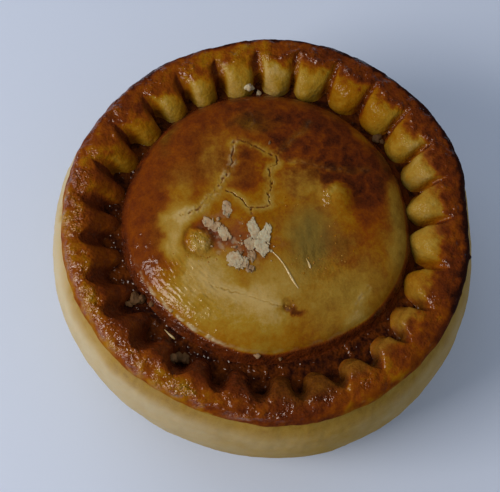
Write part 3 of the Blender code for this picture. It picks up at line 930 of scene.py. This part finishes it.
def plate_of_pastry(thickness, lift, toasted, corners, seed):
    """A thin broken flake with these corners, lying on the lid's slope."""
    corners = np.asarray(corners)
    middle = corners.mean(axis=0)
    spokes = corners - middle
    bearings = np.degrees(np.arctan2(spokes[:, 1], spokes[:, 0])) % 360.0
    reaches = sorted(zip(bearings, np.hypot(*spokes.T)))
    piece, ball = new_ball(FLAKE_DETAIL)
    reach = round_the_rim(np.arctan2(ball[:, 1], ball[:, 0]), reaches)
    outline = np.column_stack([ball[:, :2] * reach[:, None], np.zeros(len(ball))])
    ragged = 1.05 + 0.30 * lumps(outline, 1.1, 2, seed) + 0.10 * lumps(outline, 0.35, 2, seed + 0.3)
    flat = outline[:, :2] * ragged[:, None]
    rise = 0.24 * thickness * np.sign(ball[:, 2]) * np.abs(ball[:, 2]) ** 0.25
    upper = fade(ball[:, 2], 0.0, 0.2)
    grooved = lumps(outline * (1.0, 0.3, 1.0), 0.5, 2, seed + 1.0)
    rise += upper * (0.05 * grooved + 0.07 * fade(lumps(outline, 1.6, 1, seed), -0.05, 0.05))
    rise += 0.12 * lumps(outline, 2.5, 1, seed + 2.0)
    slope = Vector()
    for axis in (0, 1):
        step = np.eye(2)[axis]
        slope[axis] = 0.5 * (surface_below(*(middle + step)) - surface_below(*(middle - step)))
    rise += surface_below(*middle) + lift * thickness + flat[:, 0] * slope.x + flat[:, 1] * slope.y
    move_vertices(piece, np.column_stack([flat + middle, rise]) * MM)
    paint(piece, "toasted", 0.5 * toasted)
    return piece


def pastry_flakes():
    """All the flakes as one piece: thin plates, each under a pile of splinters that broke off it."""
    chance = np.random.default_rng(SPLINTER_SEED)
    pieces = []
    for index, flake in enumerate(FLAKES):
        pieces.append(plate_of_pastry(*flake, 30.0 + index))
        corners = np.asarray(flake[3])
        middle = corners.mean(axis=0)
        for _ in range(SPLINTERS):
            x, y = middle + (corners[chance.integers(len(corners))] - middle) * chance.uniform(0.7, 1.15)
            sizes = np.array(
                (chance.uniform(*SPLINTER_LENGTH), chance.uniform(*SPLINTER_WIDTH), SPLINTER_THICKNESS))
            place = (x, y, surface_below(x, y) + chance.uniform(*SPLINTER_LIFT))
            turn = chance.uniform(*SPLINTER_TURN)
            splinter = pebble(place, sizes, turn, roughness=0.4, detail=3, seed=chance.uniform(0.0, 90.0))
            places = vertices_of(splinter)
            tilt = chance.uniform(*SPLINTER_TILT, 2)
            places[:, 2] += (places[:, :2] - np.array((x, y)) * MM) @ tilt
            move_vertices(splinter, places)
            paint(splinter, "toasted", 0.5 * flake[2] + chance.uniform(-0.15, 0.15))
            pieces.append(splinter)
    return joined(pieces, "pastry_flakes")


def loose_crumbs():
    """All the crumbs as one piece: the larger ones where they fell, and fine ones among the flakes."""
    chance = np.random.default_rng(CRUMB_SEED)
    places = list(CRUMBS)
    for _ in range(SCATTERED):
        x, y = chance.normal(SCATTER_MIDDLE, SCATTER_SPREAD)
        places.append((x, y, chance.uniform(*FINE), chance.uniform(0.2, 1.2)))
    crumbs = []
    for index, (x, y, size, toasted) in enumerate(places):
        sizes = size * chance.uniform(0.8, 1.15, 3) * (1.0, 0.9, 0.7)
        place = (x, y, surface_below(x, y) + 0.45 * size)
        crumb = pebble(place, sizes, chance.uniform(*ANY_TURN), roughness=0.38,
                       detail=4 if size > 0.6 else 3, seed=50.0 + index)
        paint(crumb, "toasted", 0.5 * toasted)
        crumbs.append(crumb)
    return joined(crumbs, "loose_crumbs")


def glaze_bubbles():
    """Little domes where the glaze bubbled, as one piece."""
    chance = np.random.default_rng(BUBBLE_SEED)
    pieces = []
    for *group, count in BUBBLES:
        for _ in range(count):
            x, y = chance.normal(group[:2], group[2:])
            size = chance.uniform(*FINE)
            sizes = size * np.array((1.0, chance.uniform(0.8, 1.3), 0.6))
            place = (x, y, surface_below(x, y))
            pieces.append(pebble(place, sizes, chance.uniform(*ANY_TURN), roughness=0.15,
                                 detail=2, seed=size * 100.0))
    return joined(pieces, "glaze_bubbles")


def glaze_threads():
    """Thin threads of set glaze on the lid, and pale streaks of painted highlight on the lid and the jelly,
    as one piece.
    """
    threads = []
    for path in THREADS_AND_GLINT_STREAKS:
        deselect_all()
        bpy.ops.curve.primitive_nurbs_path_add(location=(0.0, 0.0, 0.0))
        line = bpy.context.object
        spline = line.data.splines[0]
        spline.points.add(max(0, len(path) - len(spline.points)))
        for index, point in enumerate(spline.points):
            x, y = path[min(index, len(path) - 1)]
            point.co = (x * MM, y * MM, (surface_below(x, y) + 0.05) * MM, 1.0)
            point.radius = THREAD_RADII[index]
        spline.use_endpoint_u = True
        spline.resolution_u = 16
        line.data.bevel_depth = THREAD_RADIUS * MM
        line.data.bevel_resolution = 3
        line.data.use_fill_caps = True
        bpy.ops.object.convert(target="MESH")
        threads.append(bpy.context.object)
    return joined(threads, "glaze_threads")


# The ring of juices in mm, and its level round the trough. Its ripples: height, then width, octaves
# and seed.
JELLY_RADIUS = 39.6
JELLY_HALF_WIDTH = 4.4
JELLY_HALF_DEPTH = 1.3
JELLY_RIPPLES = ((0.20, (3.0, 2, 41.0)), (0.16, (1.3, 3, 42.0)))
RING_THICKNESS = 0.25  # of the ring as it is made, whose radius is 1
JELLY_LEVEL = ((0, 42), (60, 42.1), (120, 42.2), (180, 42.7), (225, 43.1), (260, 42.8), (300, 42.4))


def trough_jelly():
    """Dark juices that set in the trough: a flat-topped ring, deepest where they gathered."""
    deselect_all()
    bpy.ops.mesh.primitive_torus_add(
        major_segments=720, minor_segments=48, major_radius=1.0, minor_radius=RING_THICKNESS,
        generate_uvs=False)
    piece = named(bpy.context.object, "trough_jelly")
    ring = vertices_of(piece)
    angle = np.arctan2(ring[:, 1], ring[:, 0])
    across = (np.hypot(ring[:, 0], ring[:, 1]) - 1.0) / RING_THICKNESS
    up = ring[:, 2] / RING_THICKNESS
    radius = JELLY_RADIUS + JELLY_HALF_WIDTH * across
    places = np.column_stack([radius * np.cos(angle), radius * np.sin(angle), np.zeros(len(ring))])
    ripple = sum(height * lumps(places, *kind) for height, kind in JELLY_RIPPLES)
    top = round_the_rim(angle, JELLY_LEVEL) + 0.35 * np.abs(across) ** 3 + ripple
    lifted = np.sign(up) * np.abs(up) ** 0.5
    places[:, 2] = top - JELLY_HALF_DEPTH + JELLY_HALF_DEPTH * lifted
    move_vertices(piece, places * MM)
    return piece


# Materials ---------------------------------------------------------------------------------


def add_node(material, kind, inputs=None, stops=None, **settings):
    """Add a node, give it its settings, and fill its inputs with values or other nodes' outputs."""
    tree = material.node_tree
    node = tree.nodes.new(kind)
    for name, value in settings.items():
        setattr(node, name, value)
    for name, value in (inputs or {}).items():
        if isinstance(value, bpy.types.NodeSocket):
            tree.links.new(value, node.inputs[name])
        else:
            node.inputs[name].default_value = value
    for index, (place, colour) in enumerate(stops or ()):
        elements = node.color_ramp.elements
        element = elements[index] if index < len(elements) else elements.new(place)
        element.position = place
        element.color = colour
    return node


def new_material(name):
    """A material with no nodes yet."""
    material = bpy.data.materials.new(name)
    material.use_nodes = True
    material.node_tree.nodes.clear()
    return material


def finished(material, surface):
    """The material, with this dictionary of settings for its surface."""
    shader = add_node(material, "ShaderNodeBsdfPrincipled", surface)
    add_node(material, "ShaderNodeOutputMaterial", {"Surface": shader.outputs["BSDF"]})
    return material


# How much the mottling and the speckle of the glaze add to its browning.
MOTTLING = 0.16
SPECKLING = 0.20


def glazed_pastry(colours):
    """Hot-water pastry with baked egg wash: waxy dough under a thin, wrinkled, glossy skin."""
    material = new_material("glazed_hot_water_pastry")
    place = add_node(material, "ShaderNodeTexCoord").outputs["Object"]
    bake_and_shade, olive, thin, flour_and_glint, plates, gloss, crusty = (
        add_node(material, "ShaderNodeAttribute", attribute_name=name).outputs["Fac"]
        for name in ("bake_and_shade", "olive", "thin", "flour_and_glint", "plates", "gloss", "crusty"))

    # Mottling of the glaze 2 mm across, a finer speckle of about 0.5 mm, and the wrinkles of about
    # 1 mm that it dried in, which break highlights into small glints.
    mottle, speckle, wrinkle = (
        add_node(material, "ShaderNodeTexNoise", {
            "Vector": place, "Scale": 1.0 / (width * MM), "Detail": detail, "Roughness": rough,
        }).outputs["Fac"]
        for width, detail, rough in ((2.0, 4.0, 0.6), (0.5, 2.0, 0.6), (1.2, 2.0, 0.55)))
    uneven = add_node(material, "ShaderNodeMath", {0: mottle, 1: MOTTLING, 2: bake_and_shade},
                      operation="MULTIPLY_ADD")
    uneven = add_node(material, "ShaderNodeMath", {0: speckle, 1: SPECKLING, 2: uneven.outputs[0]},
                      operation="MULTIPLY_ADD")
    # Where the glaze crazed into plates about 5 mm across, paler dough shows along their edges.
    warp = add_node(material, "ShaderNodeTexNoise", {
        "Vector": place, "Scale": 1.0 / (4.0 * MM), "Detail": 3.0}).outputs["Color"]
    bent = add_node(material, "ShaderNodeVectorMath", {0: warp, 1: (7.0 * MM,) * 3, 2: place},
                    operation="MULTIPLY_ADD").outputs[0]
    seams = add_node(material, "ShaderNodeTexVoronoi", {"Vector": bent, "Scale": 1.0 / (5.5 * MM)},
                     feature="DISTANCE_TO_EDGE").outputs["Distance"]
    seam = add_node(material, "ShaderNodeMapRange", {
        "Value": seams, "From Min": 0.0, "From Max": 0.22, "To Min": 0.12, "To Max": -0.02},
        interpolation_type="SMOOTHSTEP")
    paler = add_node(material, "ShaderNodeMath", {0: seam.outputs[0], 1: plates}, operation="MULTIPLY")
    uneven = add_node(material, "ShaderNodeMath", {0: uneven.outputs[0], 1: paler.outputs[0]},
                      operation="SUBTRACT")
    centred = add_node(material, "ShaderNodeMath", {
        0: uneven.outputs[0], 1: 0.5 * (MOTTLING + SPECKLING)}, operation="SUBTRACT")
    crust = add_node(material, "ShaderNodeValToRGB", {"Fac": centred.outputs[0]}, stops=(
        (0.0, colours.raw), (0.22, colours.straw), (0.46, colours.golden), (0.62, colours.amber),
        (0.80, colours.russet), (1.0, colours.dark)))
    # Where the oven reached the pastry least, the same browning is greener.
    green = add_node(material, "ShaderNodeValToRGB", {"Fac": centred.outputs[0]}, stops=(
        (0.0, colours.raw), (0.40, colours.olive), (0.75, colours.umber), (1.0, colours.dark)))
    # Over the crust lie its greener browning, then the thin waxy dough, then flour and a pale line along
    # the lid's edge that is partly a painted highlight.
    colour = crust.outputs["Color"]
    for share, over in ((olive, green.outputs["Color"]), (thin, colours.waxy), (flour_and_glint, colours.flake)):
        mixed = add_node(material, "ShaderNodeMix", {"Factor": share, 6: colour, 7: over}, data_type="RGBA")
        colour = mixed.outputs[2]

    soft = add_node(material, "ShaderNodeBump", {
        "Height": mottle, "Strength": 0.35, "Distance": 0.25 * MM})
    skin = add_node(material, "ShaderNodeBump", {
        "Height": wrinkle, "Strength": crusty, "Distance": 1.5 * MM, "Normal": soft.outputs["Normal"]})
    roughness = add_node(material, "ShaderNodeMapRange", {
        "Value": gloss, "To Min": 0.85, "To Max": 0.5})
    return finished(material, {
        "Base Color": colour, "Roughness": roughness.outputs[0], "IOR": 1.45,
        "Specular IOR Level": 0.03,
        "Subsurface Weight": 0.12, "Subsurface Radius": (2.0, 1.0, 0.5), "Subsurface Scale": 0.8 * MM,
        "Coat Weight": gloss, "Coat Roughness": 0.09, "Coat IOR": 1.55,
        "Normal": skin.outputs["Normal"], "Coat Normal": skin.outputs["Normal"]})


def dry_pastry(colours):
    """Broken, unglazed pastry: chalky, from pale through toasted to browned, with spots of about 1 mm."""
    material = new_material("dry_flaky_pastry")
    place = add_node(material, "ShaderNodeTexCoord").outputs["Object"]
    toasted = add_node(material, "ShaderNodeAttribute", attribute_name="toasted").outputs["Fac"]
    spots = add_node(material, "ShaderNodeTexNoise", {
        "Vector": place, "Scale": 1.0 / (1.0 * MM), "Detail": 3.0, "Roughness": 0.6}).outputs["Fac"]
    browned = add_node(material, "ShaderNodeMath", {0: spots, 1: 0.8, 2: toasted}, operation="MULTIPLY_ADD")
    colour = add_node(material, "ShaderNodeValToRGB", {"Fac": browned.outputs[0]}, stops=(
        (0.34, colours.crumb), (0.72, colours.toasted), (1.0, colours.toast)))
    relief = add_node(material, "ShaderNodeBump", {"Height": spots, "Strength": 0.3, "Distance": 0.2 * MM})
    return finished(material, {
        "Base Color": colour.outputs["Color"], "Roughness": 0.7, "IOR": 1.45, "Specular IOR Level": 0.2,
        "Subsurface Weight": 0.2, "Subsurface Radius": (2.0, 1.2, 0.7), "Subsurface Scale": 0.5 * MM,
        "Normal": relief.outputs["Normal"]})


def set_juices(name, colour, deeper, roughness, ripple):
    """Set juices or glaze: glossy and wet-looking, deeper in colour where it is thick, rippled on top."""
    material = new_material(name)
    place = add_node(material, "ShaderNodeTexCoord").outputs["Object"]
    thick = add_node(material, "ShaderNodeTexNoise", {
        "Vector": place, "Scale": 1.0 / (3.0 * MM), "Detail": 4.0, "Roughness": 0.65}).outputs["Fac"]
    shade = add_node(material, "ShaderNodeValToRGB", {"Fac": thick}, stops=((0.40, deeper), (0.62, colour)))
    waves = add_node(material, "ShaderNodeTexNoise", {
        "Vector": place, "Scale": 1.0 / (1.3 * MM), "Detail": 1.0}).outputs["Fac"]
    top = add_node(material, "ShaderNodeBump", {"Height": waves, "Strength": ripple, "Distance": 1.5 * MM})
    return finished(material, {
        "Base Color": shade.outputs["Color"], "Roughness": 0.5, "IOR": 1.38, "Specular IOR Level": 0.0,
        "Coat Weight": 0.8, "Coat Roughness": roughness, "Coat IOR": 1.45,
        "Normal": top.outputs["Normal"], "Coat Normal": top.outputs["Normal"]})


def plain_card(name, hex_colour, roughness):
    """Matt card for the table."""
    return finished(new_material(name), {"Base Color": linear(hex_colour), "Roughness": roughness})


# Operators ---------------------------------------------------------------------------------


class PIE_OT_case(bpy.types.Operator):
    """Raise the pastry case with its crimped rim"""

    bl_idname = "pork_pie.case"
    bl_label = "Raise the case"

    def execute(self, context):
        scene = context.scene
        finish_piece(shape_case(scene.pie_shape), glazed_pastry(scene.pie_colours))
        return {"FINISHED"}


class PIE_OT_lid(bpy.types.Operator):
    """Dome the cracked lid inside the rim"""

    bl_idname = "pork_pie.lid"
    bl_label = "Dome the lid"

    def execute(self, context):
        scene = context.scene
        finish_piece(shape_lid(scene.pie_shape), glazed_pastry(scene.pie_colours))
        return {"FINISHED"}


class PIE_OT_juices(bpy.types.Operator):
    """Set dark juices in the trough"""

    bl_idname = "pork_pie.juices"
    bl_label = "Set the juices"

    def execute(self, context):
        colours = context.scene.pie_colours
        finish_piece(trough_jelly(), set_juices("set_dark_juices", colours.jelly, colours.dark, 0.06, 0.72))
        # Pale threads and streaks that are partly painted highlights.
        finish_piece(glaze_threads(), set_juices("set_glaze_and_painted_glints", colours.thread_and_glint, colours.raw, 0.10, 0.2))
        finish_piece(glaze_bubbles(), set_juices("baked_glaze", colours.bubble, colours.golden, 0.12, 0.1))
        return {"FINISHED"}


class PIE_OT_crumbs(bpy.types.Operator):
    """Drop the flakes and crumbs on the pie"""

    bl_idname = "pork_pie.crumbs"
    bl_label = "Drop the crumbs"

    def execute(self, context):
        colours = context.scene.pie_colours
        finish_piece(pastry_flakes(), dry_pastry(colours))
        finish_piece(loose_crumbs(), dry_pastry(colours))
        return {"FINISHED"}


CAMERA_AZIMUTH = math.radians(-11.7)
CAMERA_ELEVATION = math.radians(69.7)
CAMERA_DISTANCE = 0.369
CAMERA_TARGET = Vector((-0.0037, 0.0005, 0.0268))
CAMERA_LENS = 100.8
TABLE_SIZE = 3.0
# Square lamps: name, place, side in metres, power in watts, tint, and whether they make glints.
LAMPS = (
    ("window", Vector((-0.59, -0.22, 0.50)), 0.38, 4.4, "#fff5ec", True),
    ("bounce", Vector((-0.40, 0.50, 0.55)), 0.60, 0.9, "#f2f6ff", False),
)
LAMPS_AIM = Vector((0.0, 0.0, 0.03))
TABLE_COLOUR = "#cbd7eb"
ROOM_COLOUR = "#d2d8e2"
ROOM_STRENGTH = 0.52


def aim(thing, target, up):
    """Turn a camera or lamp so that it looks at the target with this direction upwards."""
    back = (thing.location - target).normalized()
    right = up.cross(back).normalized()
    thing.rotation_mode = "QUATERNION"
    rotation = np.column_stack([right, back.cross(right), back])
    thing.rotation_quaternion = Matrix(rotation.tolist()).to_quaternion()


class PIE_OT_stage(bpy.types.Operator):
    """Set the pale table, the soft window light and the camera"""

    bl_idname = "pork_pie.stage"
    bl_label = "Set the stage"

    def execute(self, context):
        deselect_all()
        bpy.ops.mesh.primitive_plane_add(size=TABLE_SIZE, location=(0.0, 0.0, 0.0))
        floor = context.object
        floor.name = "table"
        floor.data.materials.append(plain_card("pale_table", TABLE_COLOUR, 0.8))

        cos, sin = math.cos(CAMERA_ELEVATION), math.sin(CAMERA_ELEVATION)
        back = Vector((math.sin(CAMERA_AZIMUTH) * cos, -math.cos(CAMERA_AZIMUTH) * cos, sin))
        deselect_all()
        bpy.ops.object.camera_add(location=CAMERA_TARGET + CAMERA_DISTANCE * back)
        camera = context.object
        camera.name = "camera"
        camera.data.lens = CAMERA_LENS
        camera.data.clip_start = 0.01
        aim(camera, CAMERA_TARGET, Vector((0.0, 1.0, 0.0)))
        context.scene.camera = camera

        for name, place, side, power, tint, glints in LAMPS:
            deselect_all()
            bpy.ops.object.light_add(type="AREA", location=place)
            lamp = context.object
            lamp.name = name
            lamp.data.shape = "SQUARE"
            lamp.data.size = side
            lamp.data.energy = power
            lamp.data.color = linear(tint)[:3]
            lamp.visible_glossy = glints
            aim(lamp, LAMPS_AIM, Vector((0.0, 0.0, 1.0)))

        world = bpy.data.worlds.new("room")
        world.use_nodes = True
        backdrop = world.node_tree.nodes["Background"]
        backdrop.inputs["Color"].default_value = linear(ROOM_COLOUR)
        backdrop.inputs["Strength"].default_value = ROOM_STRENGTH
        world.cycles_visibility.glossy = False
        context.scene.world = world
        context.scene.view_settings.view_transform = "Standard"
        return {"FINISHED"}


class PIE_PT_panel(bpy.types.Panel):
    """Lists the pie's steps in order"""

    bl_idname = "PIE_PT_panel"
    bl_label = "Pork Pie"
    bl_space_type = "VIEW_3D"
    bl_region_type = "UI"
    bl_category = "Pork Pie"

    def draw(self, context):
        for step in STEPS:
            self.layout.operator(step.bl_idname)


STEPS = (PIE_OT_stage, PIE_OT_case, PIE_OT_lid, PIE_OT_juices, PIE_OT_crumbs)
CLASSES = (PieShape, PieColours, *STEPS, PIE_PT_panel)


def register():
    for kind in CLASSES:
        bpy.utils.register_class(kind)
    bpy.types.Scene.pie_shape = PointerProperty(type=PieShape)
    bpy.types.Scene.pie_colours = PointerProperty(type=PieColours)


def unregister():
    del bpy.types.Scene.pie_shape
    del bpy.types.Scene.pie_colours
    for kind in reversed(CLASSES):
        bpy.utils.unregister_class(kind)


def main():
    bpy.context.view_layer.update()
    register()
    for step in STEPS:
        group, name = step.bl_idname.split(".")
        getattr(getattr(bpy.ops, group), name)()


if __name__ == "__main__":
    main()
